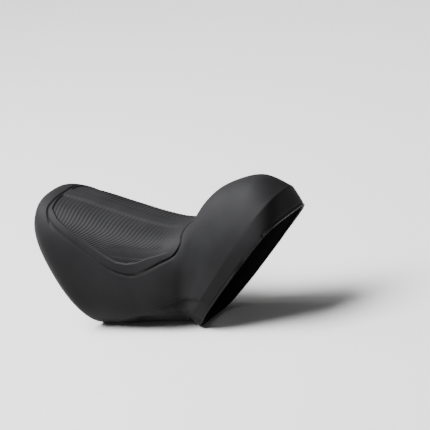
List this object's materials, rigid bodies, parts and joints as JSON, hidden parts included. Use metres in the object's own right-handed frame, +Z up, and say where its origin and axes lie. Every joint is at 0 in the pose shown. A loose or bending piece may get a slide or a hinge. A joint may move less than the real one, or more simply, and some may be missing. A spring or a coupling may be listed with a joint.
{
  "type": "brake lever hood",
  "caption": "Moulded rubber cover for a drop bar brake lever: a hollow grip with ribbed panels that sweeps up to a bulbous horn, open at the rear and at the slanted front.",
  "frame": {"origin": "on the ground under the middle of the hood's box, as it stands on its heel and front lip", "axes": "+X to the front opening, +Y to the side, +Z up"},
  "size_m": [0.1188, 0.0416, 0.0605],
  "materials": {
    "rubber": "soft matte black moulded rubber with a fine satin skin"
  },
  "bodies": {
    "root": {"hood": "rubber"}
  },
  "joints": []
}
